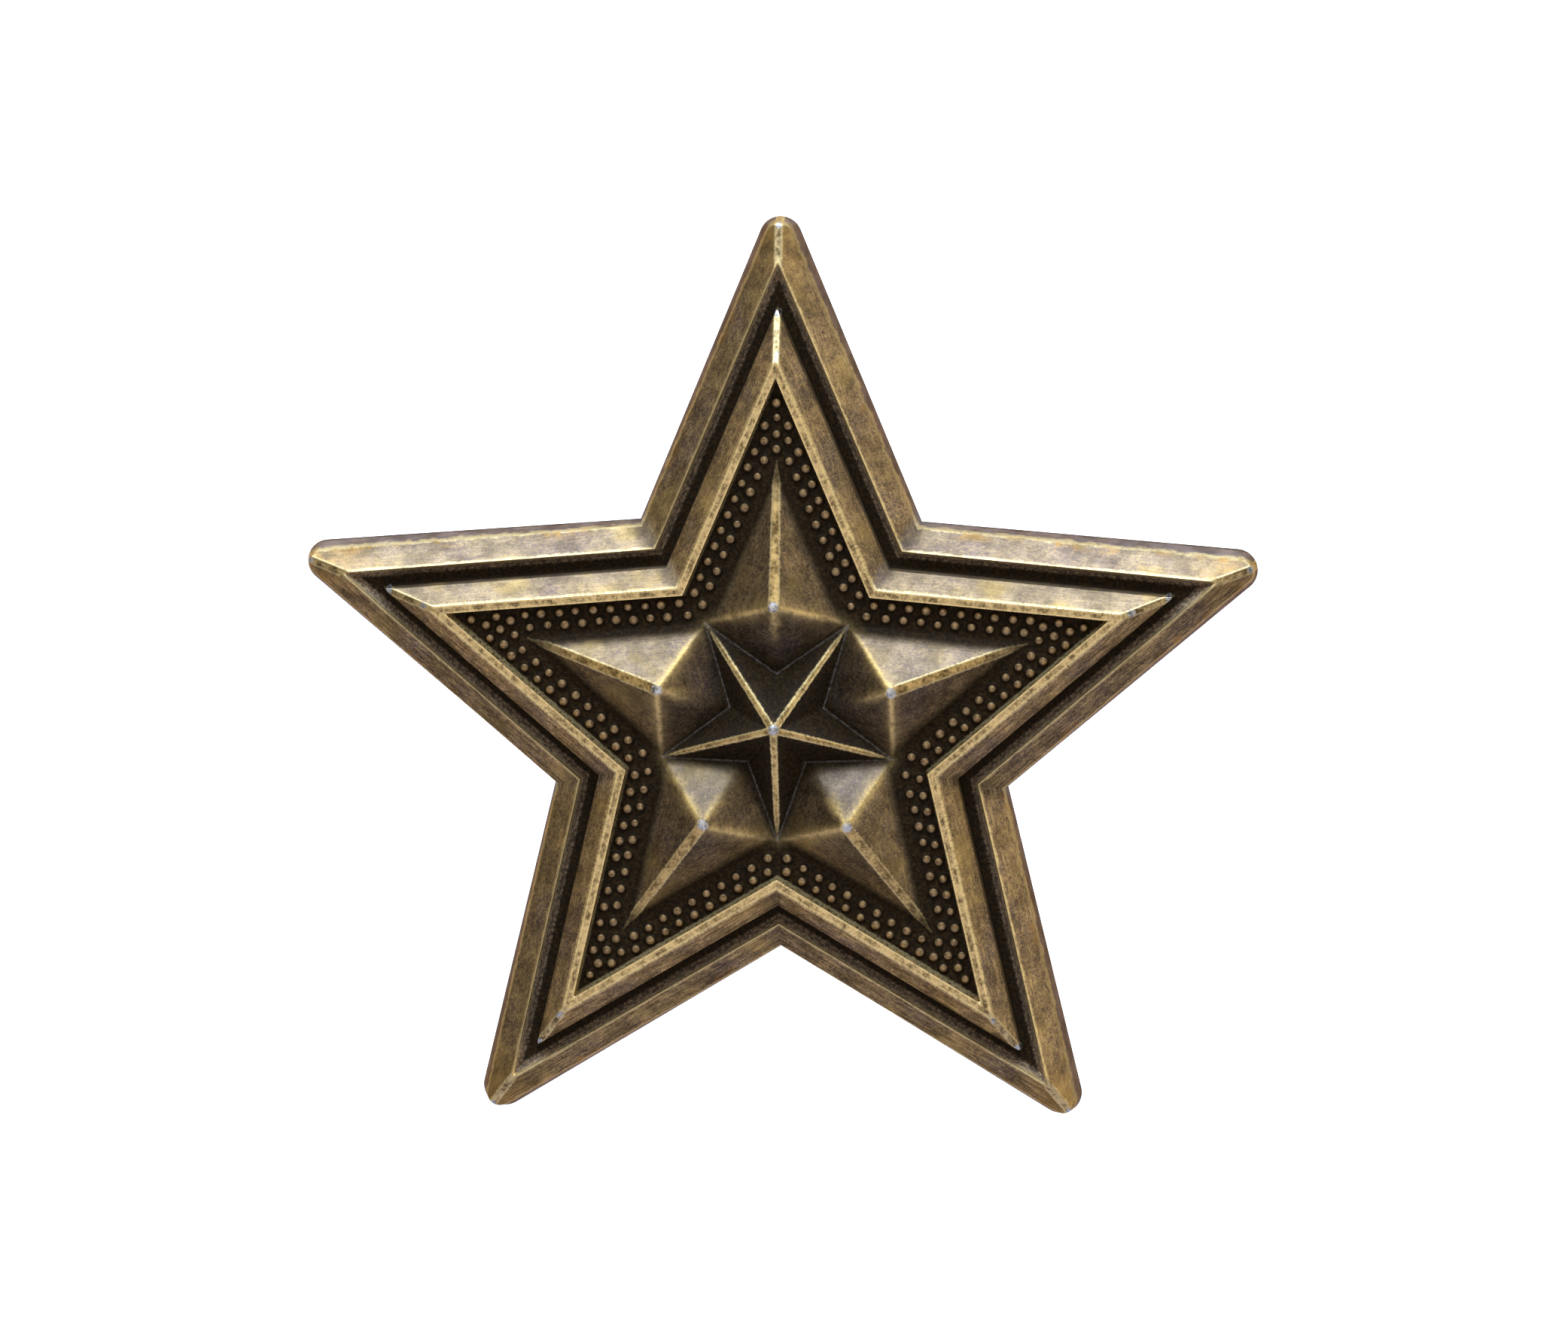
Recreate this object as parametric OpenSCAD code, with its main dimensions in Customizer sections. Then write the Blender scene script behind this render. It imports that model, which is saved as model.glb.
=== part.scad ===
// Star badge pin: a cast five-pointed star in antique brass, worn upright,
// held on by two nail posts and two butterfly clutches.
// Millimetres. +Z is up, the face looks along -Y, and the back rim lies in the plane y = 0.

/* [Star outline] */
// Width of the star over its left and right tips
star_w = 40.1; // [36:0.1:48]
// Half of the angle between the two edges of one arm on the face
tip_half = 23; // [22:0.5:24]
// Half of the angle between the two edges of one arm on the back rim, which flares towards the tips
rim_half = 22.4; // [22:0.1:23]
// Radius that rounds each tip of the back rim
tip_r = 0.95; // [0.8:0.05:1.1]
// Radius that rounds each tip at the top of the side wall
wall_tip_r = 0.55; // [0.4:0.05:0.7]

/* [Star face, steps inwards from the back rim] */
// Lean of the side wall at the notches
wall_draft = 0.11; // [0.05:0.01:0.2]
// Width of the outer bevel
outer_bevel_w = 0.93; // [0.7:0.01:1.1]
// Run of the steep wall from the outer crest into the groove
groove_wall_w = 0.24; // [0.15:0.01:0.35]
// Width of the groove's floor
groove_w = 0.46; // [0.35:0.01:0.6]
// Lean of the raised tier's wall
tier_draft = 0.06; // [0.03:0.01:0.1]
// Width of the raised tier's bevel
tier_bevel_w = 0.75; // [0.6:0.01:0.9]
// Width of the flat land on the raised tier
land_w = 0.34; // [0.25:0.01:0.45]
// Run of the wall from the land into the field
field_wall_w = 0.1; // [0.05:0.01:0.2]

/* [Star face, heights above the back rim] */
// Top of the side wall
wall_h = 1.03; // [0.8:0.01:1.1]
// Outer crest
crest_h = 1.88; // [1.7:0.01:2]
// Floor of the groove
groove_h = 1.4; // [1.3:0.01:1.5]
// Foot of the raised tier's bevel
tier_foot_h = 2.3; // [2.1:0.01:2.4]
// Land of the raised tier
land_h = 3.23; // [3:0.01:3.5]
// Floor of the stippled field
field_h = 2.6; // [2.5:0.01:2.7]

/* [Centre facets] */
// Distance of each kite's apex from the centre
kite_r = 5.15; // [4.8:0.05:5.5]
// Height of each kite's apex
kite_h = 4.55; // [4.2:0.05:4.9]
// Distance of each kite's outer point from the centre
kite_end_r = 11.05; // [10:0.05:11.5]
// Distance of the inner star's points from the centre
inner_tip_r = 5.12; // [4.9:0.02:5.4]
// Distance of the inner star's notches from the centre
inner_notch_r = 2.07; // [1.8:0.01:2.3]
// Height of the inner star's notches
inner_notch_h = 2.85; // [2.7:0.05:3]
// Height of the inner star's apex
apex_h = 4.93; // [4.6:0.01:5.2]

/* [Star back] */
// Width of the flat rim round the back
rim_w = 1.2; // [1:0.05:1.4]
// Depth of the shallow hollow behind the bevels
hollow_d = 0.5; // [0.4:0.01:0.6]
// Depth of the deeper hollow behind the field
deep_hollow_d = 1.1; // [0.9:0.05:1.4]
// Width of the stiffening bar that joins the two post bosses
bar_w = 2.4; // [1.8:0.1:3]
// Diameter of the central pad
pad_d = 2.6; // [2:0.1:2.8]
// Diameter of each post boss
boss_d = 4.4; // [4:0.1:5]

/* [Posts] */
// Distance between the two posts
post_spacing = 13.6; // [13:0.1:14.4]
// Height of the posts above the star's centre
post_z = 1.8; // [1.2:0.1:2.4]
// Diameter of a post
post_d = 1.1; // [1:0.05:1.15]
// Length of a post from the back rim to its point
post_l = 8; // [7.6:0.1:9]
// Length of the post's point
post_point_l = 0.9; // [0.6:0.1:1.2]
// Diameter of the post's soldered foot
foot_d = 3.4; // [3:0.1:3.8]
// Thickness of the post's soldered foot
foot_t = 0.35; // [0.3:0.01:0.4]

/* [Butterfly clutches] */
// Diameter of the clutch's cup
cup_d = 11.2; // [10.8:0.1:11.6]
// Thickness of the cup's sheet
cup_t = 0.4; // [0.35:0.01:0.45]
// Height of the cup's rim
cup_h = 1.2; // [1.1:0.05:1.3]
// Gap for the cloth between the back rim and the cup
cloth_gap = 0.6; // [0.55:0.05:1]
// Length of the cup's nozzle, which points at the star
nozzle_l = 0.45; // [0.3:0.05:0.5]
// Thickness of the spring strip
strip_t = 0.35; // [0.3:0.01:0.36]
// Slope of the crossing arms at rest
arm_slope = 24; // [22:1:26]
// Width of the wings
wing_w = 5.6; // [5:0.1:6]

/* [Hidden] */
$fn = 64;

antique_brass = [0.46, 0.38, 0.26];
post_brass = [0.80, 0.66, 0.38];
clutch_brass = [0.85, 0.69, 0.36];

arms = [0:4];
arm_angle = 72;
half_arm_angle = 36;
tip_steps = 8;
embed = 0.15;
crest_tip_r = 0.08;

// Distances of the straight edges from the centre, ring by ring
rim_d = (star_w / 2 - tip_r) / cos(90 - arm_angle) * sin(rim_half) + tip_r;
wall_top_d = rim_d - wall_draft;
crest_d = wall_top_d - outer_bevel_w;
groove_out_d = crest_d - groove_wall_w;
groove_in_d = groove_out_d - groove_w;
tier_foot_d = groove_in_d - tier_draft;
land_out_d = tier_foot_d - tier_bevel_w;
land_in_d = land_out_d - land_w;
field_d = land_in_d - field_wall_w;
hollow_edge_d = rim_d - rim_w;
deep_hollow_edge_d = land_in_d;

function turned(p, a) = [p[0] * cos(a) - p[1] * sin(a), p[0] * sin(a) + p[1] * cos(a)];
function polar(r, a) = [r * cos(a), r * sin(a)];

// Star outline whose edges lie d from the centre, with tips rounded to radius r
function star_outline(d, r, half = tip_half) = [
    for (arm = arms, step = [0:tip_steps + 1])
        let (
            arc = (90 - half) * (2 * step / tip_steps - 1),
            centre = [(d - r) / sin(half), 0],
            notch = polar(d / sin(half_arm_angle + half), half_arm_angle)
        )
        turned(step <= tip_steps ? centre + polar(r, arc) : notch, 90 + arm_angle * arm)
];

// Whole face of the star as one closed solid: the rings of the frame and of the raised tier,
// the floor of the field, and the facets of the five kites and the upside-down inner star.
module star_front() {
    levels = [
        [wall_top_d, wall_tip_r, wall_h],
        [crest_d, crest_tip_r, crest_h],
        [groove_out_d, crest_tip_r, groove_h],
        [groove_in_d, crest_tip_r, groove_h],
        [tier_foot_d, crest_tip_r, tier_foot_h],
        [land_out_d, crest_tip_r, land_h],
        [land_in_d, crest_tip_r, land_h],
        [field_d, crest_tip_r, field_h]
    ];
    arm_count = tip_steps + 2;
    count = 5 * arm_count;
    field = len(levels) * count;
    kite_end = field + count;
    star_tip = kite_end + 5;
    kite_apex = star_tip + 5;
    star_notch = kite_apex + 5;
    star_apex = star_notch + 5;
    low_middle = star_apex + 1;
    // Off centre, so that no edge of the back's triangles runs through a corner of the hollows
    back_middle = [1, 0.7, 0];
    points = concat(
        [for (p = star_outline(rim_d, tip_r, rim_half)) [p[0], p[1], 0]],
        [for (level = levels, p = star_outline(level[0], level[1])) [p[0], p[1], level[2]]],
        five_points(kite_end_r, 0, field_h),
        five_points(inner_tip_r, half_arm_angle, field_h),
        five_points(kite_r, 0, kite_h),
        five_points(inner_notch_r, 0, inner_notch_h),
        [[0, 0, apex_h], back_middle]
    );
    back = [for (i = [0:count - 1]) [low_middle, i, (i + 1) % count]];
    rings = [
        for (level = [0:len(levels) - 1], i = [0:count - 1])
            let (
                a = level * count + i,
                b = level * count + (i + 1) % count
            )
            each [[a, a + count, b], [b, a + count, b + count]]
    ];
    field_floor = [
        for (arm = arms)
            let (
                before = (arm + 4) % 5,
                first = field + arm * arm_count,
                last = first + tip_steps,
                notch = last + 1,
                notch_before = field + before * arm_count + tip_steps + 1
            )
            each concat(
                [for (step = [0:tip_steps - 1]) [kite_end + arm, first + step + 1, first + step]],
                [
                    [notch_before, kite_end + arm, first],
                    [notch_before, star_tip + before, kite_end + arm],
                    [last, star_tip + arm, notch],
                    [last, kite_end + arm, star_tip + arm]
                ]
            )
    ];
    facets = [
        for (arm = arms)
            let (before = (arm + 4) % 5)
            each [
                [kite_apex + arm, star_tip + arm, kite_end + arm],
                [kite_apex + arm, kite_end + arm, star_tip + before],
                [kite_apex + arm, star_notch + arm, star_tip + arm],
                [kite_apex + arm, star_tip + before, star_notch + arm],
                [star_apex, star_tip + arm, star_notch + arm],
                [star_apex, star_notch + arm, star_tip + before]
            ]
    ];
    polyhedron(
        points = points,
        faces = concat(back, rings, field_floor, facets),
        convexity = 10
    );
}

// One point on each arm, r from the centre, turned by offset from the arm's axis
function five_points(r, offset, h) = [
    for (arm = arms)
        let (p = polar(r, 90 + offset + arm_angle * arm))
        [p[0], p[1], h]
];

// Star-shaped hollow cut into the back to a depth
module back_hollow(d, depth) {
    translate([0, 0, -1])
        linear_extrude(height = 1 + depth)
            polygon(star_outline(d, wall_tip_r));
}

// Central pad, post bosses and the bar that joins them, left standing in the hollow
module back_ribs() {
    top = deep_hollow_d + embed;
    cylinder(d = pad_d, h = top);
    for (side = [-1, 1])
        translate([side * post_spacing / 2, post_z, foot_t])
            cylinder(d = boss_d, h = top - foot_t);
    translate([-post_spacing / 2, post_z - bar_w / 2, foot_t])
        cube([post_spacing, bar_w, top - foot_t]);
}

// Everything on the star is drawn face up and then stood upright
module upright() {
    rotate([90, 0, 0])
        children();
}

module star_casting() {
    color(antique_brass)
        upright()
            union() {
                difference() {
                    star_front();
                    back_hollow(hollow_edge_d, hollow_d);
                    back_hollow(deep_hollow_edge_d, deep_hollow_d);
                }
                back_ribs();
            }
}

// Things on the back are drawn along +Z, away from the star, and then turned towards +Y
module on_back(side) {
    translate([side * post_spacing / 2, 0, post_z])
        rotate([-90, 0, 0])
            children();
}

// Nail post: soldered foot, shank with a snap groove, and a point
module post(side) {
    post_r = post_d / 2;
    blunt_r = 0.12;
    groove_depth = 0.1;
    shank_l = post_l - post_point_l;
    groove_at = shank_l - 1;
    color(post_brass)
        on_back(side)
            rotate_extrude()
                polygon([
                    [0, -foot_t],
                    [foot_d / 2, -foot_t],
                    [foot_d / 2, 0],
                    [post_r, 0],
                    [post_r, groove_at],
                    [post_r - groove_depth, groove_at + groove_depth],
                    [post_r - groove_depth, groove_at + 2 * groove_depth],
                    [post_r, groove_at + 3 * groove_depth],
                    [post_r, shank_l],
                    [blunt_r, post_l],
                    [0, post_l]
                ]);
}

/* Butterfly clutch. Its own frame has z = 0 on the front of the cup's floor, +Z away from the star,
   X across the two wings and Y along the two hinge lines. */
hinge_x = 3.1;
hinge_z = 1.2;
roll_r = 0.3;
hinge_gap = 0.05;
curl_in_r = roll_r + hinge_gap;
curl_out_r = curl_in_r + strip_t;
curl_mid_r = (curl_in_r + curl_out_r) / 2;
seat_half_w = 2.1;
web_angle = 45;
post_hole_r = post_d / 2 + 0.07;
neck_half_w = 0.98;
window_half_w = 1.18;
neck_reach = 1.75;
grip_gap = 0.03;
slot_far_x = 1.2;
arm_half_w = 2.3;
wing_tip_x = 5.3;

// Stamped cup with a nozzle round the post and a rolled rim
module clutch_cup(side) {
    cup_r = cup_d / 2;
    edge_r = cup_t / 2;
    nozzle_r = 1.35;
    color(clutch_brass)
        on_back(side)
            translate([0, 0, cloth_gap])
                rotate_extrude()
                    union() {
                        polygon([
                            [post_hole_r, -nozzle_l],
                            [nozzle_r - 0.2, -nozzle_l],
                            [nozzle_r, -nozzle_l + 0.2],
                            [nozzle_r, 0],
                            [cup_r - edge_r, 0],
                            [cup_r, edge_r],
                            [cup_r, cup_h],
                            [cup_r - cup_t, cup_h],
                            [cup_r - cup_t, cup_t],
                            [post_hole_r, cup_t]
                        ]);
                        translate([cup_r - edge_r, cup_h])
                            circle(r = edge_r);
                    }
}

// Flat seat of the spring strip, with its two ends bent up to a roll on each hinge line
module clutch_spring_seat(side) {
    bend_x = hinge_x - (hinge_z - cup_t - strip_t / 2);
    color(clutch_brass)
        on_back(side)
            translate([0, 0, cloth_gap])
                difference() {
                    union() {
                        translate([-bend_x, -seat_half_w, cup_t])
                            cube([2 * bend_x, 2 * seat_half_w, strip_t]);
                        for (end = [-1, 1]) {
                            translate([end * hinge_x, 0, hinge_z])
                                rotate([90, 0, 0])
                                    cylinder(r = roll_r, h = 2 * seat_half_w, center = true);
                            seat_web(end, bend_x);
                        }
                    }
                    cylinder(r = post_hole_r, h = 4, center = true);
                }
}

// Sloping web between the flat seat and one roll
module seat_web(end, bend_x) {
    low_z = cup_t;
    half_t = 0.15;
    translate([0, seat_half_w, 0])
        rotate([90, 0, 0])
            linear_extrude(height = 2 * seat_half_w)
                polygon([
                    [end * (bend_x - 0.1), low_z],
                    [end * (bend_x + half_t), low_z],
                    [end * (hinge_x + half_t / sqrt(2)), hinge_z - half_t / sqrt(2)],
                    [end * (hinge_x - half_t / sqrt(2)), hinge_z + half_t / sqrt(2)],
                    [end * (bend_x - 0.1), low_z + strip_t]
                ]);
}

// Middle line of a wing seen from its side: curl, sloping arm, then a swept ear
curl_start = 250;
curl_end = 90 + arm_slope;
curl_steps = 14;
ear_steps = 10;
ear_rise = 34;
arm_end_x = 1.3;
ear_bend_r = 2.2;
function curl_line() = [
    for (i = [0:curl_steps])
        [-hinge_x, hinge_z] + polar(curl_mid_r, curl_start + (curl_end - curl_start) * i / curl_steps)
];
function arm_end() =
    let (start = curl_line()[curl_steps], run = arm_end_x - start[0])
    [arm_end_x, start[1] + run * tan(arm_slope)];
function ear_line() =
    let (centre = arm_end() + polar(ear_bend_r, arm_slope + 90))
    [
        for (i = [1:ear_steps])
            centre + polar(ear_bend_r, arm_slope - 90 + ear_rise * i / ear_steps)
    ];
function ear_tip() =
    let (last = ear_line()[ear_steps - 1], slope = arm_slope + ear_rise, lean = 38)
    let (knee = last + polar(1.1, slope))
    [knee, knee + polar((wing_tip_x - knee[0]) / cos(lean), lean)];
function wing_line() = concat(curl_line(), [arm_end()], ear_line(), ear_tip());

// Outline of a strip of constant thickness round a middle line
function strip_outline(line, t) =
    let (
        last = len(line) - 1,
        sides = [
            for (i = [0:last])
                let (
                    run = line[min(i + 1, last)] - line[max(i - 1, 0)],
                    normal = [-run[1], run[0]] / norm(run)
                )
                normal * t / 2
        ]
    )
    concat(
        [for (i = [0:last]) line[i] + sides[i]],
        [for (i = [last:-1:0]) line[i] - sides[i]]
    );

// Plan of a wing: a wide arm, a middle that crosses the other wing, and a rounded ear
module wing_plan(middle_half_w) {
    corner_r = 1.4;
    far = wing_tip_x + 0.2;
    near = hinge_x + curl_out_r + 0.1;
    translate([-near, -arm_half_w])
        square([near - neck_reach, 2 * arm_half_w]);
    translate([-near, -middle_half_w])
        square([near + neck_reach + 1, 2 * middle_half_w]);
    translate([neck_reach, -arm_half_w])
        square([1, 2 * arm_half_w]);
    hull() {
        translate([neck_reach + 0.4, -arm_half_w])
            square([0.5, 2 * arm_half_w]);
        for (edge = [-1, 1])
            translate([far - corner_r, edge * (wing_w / 2 - corner_r)])
                circle(r = corner_r);
    }
}

// One wing drawn with its hinge on the -X side and its ear on the +X side
module wing_blank(middle_half_w) {
    intersection() {
        translate([0, 4, 0])
            rotate([90, 0, 0])
                linear_extrude(height = 8)
                    polygon(strip_outline(wing_line(), strip_t));
        linear_extrude(height = 10)
            wing_plan(middle_half_w);
    }
}

// Slot that grips the post on the hinge side and leaves room for the squeeze on the other
module grip_slot(half_w, far_x) {
    near_x = -(post_d / 2 + grip_gap);
    translate([near_x, -half_w, 0])
        cube([far_x - near_x, 2 * half_w, 10]);
}

// Wing with a narrow neck, which passes through the window of its partner
module necked_wing() {
    difference() {
        wing_blank(neck_half_w);
        grip_slot(post_d / 2 + 0.07, slot_far_x);
    }
}

// Wing with a window for its partner's neck
module windowed_wing() {
    difference() {
        wing_blank(arm_half_w);
        grip_slot(window_half_w, neck_reach);
    }
}

// mirror_x = 1 puts the hinge on the +X side
module wing(side, mirror_x, windowed) {
    color(clutch_brass)
        on_back(side)
            translate([0, 0, cloth_gap])
                mirror([mirror_x, 0, 0])
                    if (windowed)
                        windowed_wing();
                    else
                        necked_wing();
}

// The inner wing's ear is the one nearer the middle of the badge
module inner_wing(side) { wing(side, side > 0 ? 1 : 0, true); }
module outer_wing(side) { wing(side, side > 0 ? 0 : 1, false); }

module left_post() { post(-1); }
module right_post() { post(1); }
module left_clutch_cup() { clutch_cup(-1); }
module right_clutch_cup() { clutch_cup(1); }
module left_clutch_spring_seat() { clutch_spring_seat(-1); }
module right_clutch_spring_seat() { clutch_spring_seat(1); }
module left_clutch_inner_wing() { inner_wing(-1); }
module left_clutch_outer_wing() { outer_wing(-1); }
module right_clutch_inner_wing() { inner_wing(1); }
module right_clutch_outer_wing() { outer_wing(1); }

star_casting();
left_post();
right_post();
left_clutch_cup();
left_clutch_spring_seat();
left_clutch_inner_wing();
left_clutch_outer_wing();
right_clutch_cup();
right_clutch_spring_seat();
right_clutch_inner_wing();
right_clutch_outer_wing();
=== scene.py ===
"""Looks of the star badge pin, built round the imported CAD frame.

Lengths are in millimetres until a mesh is made. A half arm is the wedge from the middle line of an arm to the
middle line of a notch. The star is ten of them, so most shapes are worked out in one half arm's coordinates:
u runs along the arm, and v away from its middle line.
"""

import math
from types import SimpleNamespace

import bpy
import numpy as np
from mathutils import Matrix, Vector, geometry


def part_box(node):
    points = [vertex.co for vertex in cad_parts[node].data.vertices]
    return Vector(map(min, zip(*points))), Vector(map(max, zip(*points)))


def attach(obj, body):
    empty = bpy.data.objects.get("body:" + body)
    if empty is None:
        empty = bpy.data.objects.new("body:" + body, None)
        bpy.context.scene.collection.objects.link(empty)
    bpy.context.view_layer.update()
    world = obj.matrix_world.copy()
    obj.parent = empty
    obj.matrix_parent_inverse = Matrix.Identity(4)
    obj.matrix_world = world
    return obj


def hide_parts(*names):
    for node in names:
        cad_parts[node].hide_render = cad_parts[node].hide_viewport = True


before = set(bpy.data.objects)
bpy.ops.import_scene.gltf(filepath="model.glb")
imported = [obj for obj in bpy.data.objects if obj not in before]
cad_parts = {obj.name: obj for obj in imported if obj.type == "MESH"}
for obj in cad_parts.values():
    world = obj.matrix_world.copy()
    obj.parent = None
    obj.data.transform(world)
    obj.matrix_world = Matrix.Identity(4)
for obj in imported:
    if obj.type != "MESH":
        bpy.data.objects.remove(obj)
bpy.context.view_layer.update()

MM = 0.001

# ------------------------------------------------------------------------------------------------
# The star's sizes: the same driving dimensions as the CAD part, measured from its box where they can be
# ------------------------------------------------------------------------------------------------
ARMS = 5
ARM = 2 * math.pi / ARMS
HALF_ARM = ARM / 2
TIP_HALF, RIM_HALF = math.radians(23), math.radians(22.4)
TIP_R, WALL_TIP_R, SHARP_TIP_R = 0.95, 0.55, 0.05
STAR_LOW, STAR_HIGH = (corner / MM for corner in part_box("star_casting"))
TIP_CENTRE = ((STAR_HIGH.x - STAR_LOW.x) / 2 - TIP_R) / math.cos(math.pi / 2 - ARM)

# Distances from the centre of the straight edges of each outline, from the back rim inwards
RIM = TIP_CENTRE * math.sin(RIM_HALF) + TIP_R
WALL_TOP = RIM - 0.11
CREST = WALL_TOP - 0.93
GROOVE_OUT = CREST - 0.24
GROOVE_IN = GROOVE_OUT - 0.46
TIER_FOOT = GROOVE_IN - 0.06
LAND_OUT = TIER_FOOT - 0.75
LAND_IN = LAND_OUT - 0.34
FIELD = LAND_IN - 0.10

# Heights above the back rim
WALL_H, CREST_H, GROOVE_H, TIER_FOOT_H, LAND_H, FIELD_H = 1.03, 1.88, 1.40, 2.30, 3.23, 2.60

# Centre facets: distances from the centre, and heights
KITE_R, KITE_H, KITE_END_R = 5.15, 4.55, 11.05
INNER_TIP_R, INNER_NOTCH_R, INNER_NOTCH_H, APEX_H = 5.12, 2.07, 2.85, 4.93

# Half widths of the flats that wear has left on the ridges; the last two taper away along their ridge
TIP_FLAT, TIER_FLAT = 0.15, 0.13
KITE_FLAT, INNER_FLAT = (0.21, 0.15, 0.0), (0.125, 0.085, 0.0)
# Height that wear has taken off the apexes
APEX_WEAR = 0.12
# Width of the rounded edges of the posts and clutches
FITTING_EDGE = 0.05

# Back: two hollows with sloping edges, a bar with two bosses for the posts, and a pad level with the rim
HOLLOW_EDGE, HOLLOW_SLOPE, HOLLOW_D = RIM - 1.2, 0.13, 0.5
DEEP_EDGE, DEEP_SLOPE, DEEP_D = LAND_IN, 0.22, 1.1
PAD_R, BOSS_R, BAR_HALF_W, FOOT_T = 1.3, 2.2, 1.2, 0.35

POST_LOW, POST_HIGH = (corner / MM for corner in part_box("right_post"))
POST_X = (POST_LOW.x + POST_HIGH.x) / 2
POST_Z = (POST_LOW.z + POST_HIGH.z) / 2


# ------------------------------------------------------------------------------------------------
# Shape functions on arrays of points of the star's plane
# ------------------------------------------------------------------------------------------------
def soft_min(a, b, k):
    """Smaller of a and b, rounded over a height of about k where they cross."""
    share = np.clip(0.5 + 0.5 * (b - a) / k, 0, 1)
    return b * (1 - share) + a * share - k * share * (1 - share)


def soft_max(a, b, k):
    """Larger of a and b, rounded in the same way."""
    return -soft_min(-a, -b, k)


def ramp(x, x0, y0, x1, y1):
    """Straight line through two points, not clipped."""
    return y0 + (x - x0) * (y1 - y0) / (x1 - x0)


def smooth_step(x, low, high):
    """Rises smoothly from 0 at low to 1 at high."""
    t = np.clip((x - low) / (high - low), 0, 1)
    return t * t * (3 - 2 * t)


def fold(x, y):
    """Turns and mirrors points into one half arm: u along the arm, v away from its middle line."""
    r = np.hypot(x, y)
    a = np.arctan2(y, x) - math.pi / 2
    a = np.abs((a + HALF_ARM) % ARM - HALF_ARM)
    return r * np.cos(a), r * np.sin(a)


def edge_distance(u, v):
    """Distance from the centre, measured square to the arm's straight edges."""
    return u * math.sin(TIP_HALF) + v * math.cos(TIP_HALF)


def edge_run(u, v):
    """Place along the arm's straight edges, growing towards the tip."""
    return u * math.cos(TIP_HALF) - v * math.sin(TIP_HALF)


def inset(u, v, d, half, r):
    """Distance inside an outline whose edges lie d from the centre and whose tips are rounded to radius r."""
    centre = (d - r) / math.sin(half)
    straight = d - u * math.sin(half) - v * math.cos(half)
    in_tip = v * math.tan(half) < u - centre
    return np.where(in_tip, r - np.hypot(u - centre, v), straight)


def rim_inset(u, v):
    """Distance inside the back rim's outline."""
    return inset(u, v, RIM, RIM_HALF, TIP_R)


def wall_inset(u, v):
    """Distance inside the outline of the side wall's top."""
    return inset(u, v, WALL_TOP, TIP_HALF, WALL_TIP_R)


def plane(p, q, r):
    """Height of the plane through three points, as a function of u and v."""
    a, b, c = np.linalg.solve([[s[0], s[1], 1] for s in (p, q, r)], [s[2] for s in (p, q, r)])
    return lambda u, v: a * u + b * v + c


SIDE_POINT = (INNER_TIP_R * math.cos(HALF_ARM), INNER_TIP_R * math.sin(HALF_ARM), FIELD_H)
KITE_APEX = (KITE_R, 0, KITE_H)
KITE_END = (KITE_END_R, 0, FIELD_H)
INNER_NOTCH = (INNER_NOTCH_R, 0, INNER_NOTCH_H)
APEX = (0, 0, APEX_H)
kite_outer_plane = plane(KITE_APEX, KITE_END, SIDE_POINT)
kite_inner_plane = plane(KITE_APEX, SIDE_POINT, INNER_NOTCH)
inner_star_plane = plane(APEX, SIDE_POINT, INNER_NOTCH)


def frame_height(u, v):
    """Outer bevel, groove, raised tier and land."""
    d = edge_distance(u, v)
    d_tip = edge_distance(u, soft_max(v, TIP_FLAT, 0.05))
    d_tier = edge_distance(u, soft_max(v, TIER_FLAT, 0.04))
    outside = rim_inset(u, v)
    wall = WALL_H * outside / np.maximum(outside - wall_inset(u, v), 0.03)
    bevel = ramp(d_tip, WALL_TOP, WALL_H, CREST, CREST_H)
    groove_wall = ramp(d, GROOVE_OUT, GROOVE_H, CREST, CREST_H)
    outer = soft_min(soft_min(wall, bevel, 0.16), groove_wall, 0.05)
    tier_wall = ramp(d, GROOVE_IN, GROOVE_H, TIER_FOOT, TIER_FOOT_H)
    tier_bevel = ramp(d_tier, TIER_FOOT, TIER_FOOT_H, LAND_OUT, LAND_H)
    field_wall = ramp(d, FIELD, FIELD_H, LAND_IN, LAND_H)
    tier = soft_min(soft_min(tier_wall, tier_bevel, 0.1), soft_min(field_wall, LAND_H, 0.04), 0.03)
    floor = np.where(d > LAND_OUT, GROOVE_H, FIELD_H)
    return np.where(d > CREST, outer, soft_max(soft_max(outer, tier, 0.02), floor, 0.05))


def kite_flat(u):
    """Half width of the flat on a kite's long ridge."""
    return np.interp(u, (KITE_R, KITE_END_R - 0.9, KITE_END_R - 0.1), KITE_FLAT)


def inner_flat(along):
    """Half width of the flats on the inner star's ridges."""
    return np.interp(along, (0, INNER_TIP_R - 1.0, INNER_TIP_R - 0.1), INNER_FLAT)


def centre_height(u, v):
    """The five kites round the upside-down inner star."""
    outer = kite_outer_plane(u, soft_max(v, kite_flat(u), 0.06))
    inner = kite_inner_plane(u, soft_max(v, 0.06, 0.16))
    kite = soft_min(soft_min(outer, inner, 0.15), KITE_H - APEX_WEAR, 0.05)
    along = u * math.cos(HALF_ARM) + v * math.sin(HALF_ARM)
    across = soft_max(u * math.sin(HALF_ARM) - v * math.cos(HALF_ARM), inner_flat(along), 0.05)
    star = inner_star_plane(
        along * math.cos(HALF_ARM) + across * math.sin(HALF_ARM),
        along * math.sin(HALF_ARM) - across * math.cos(HALF_ARM),
    )
    star = soft_min(star, APEX_H - APEX_WEAR, 0.05)
    return soft_max(star, kite, 0.04)


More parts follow.
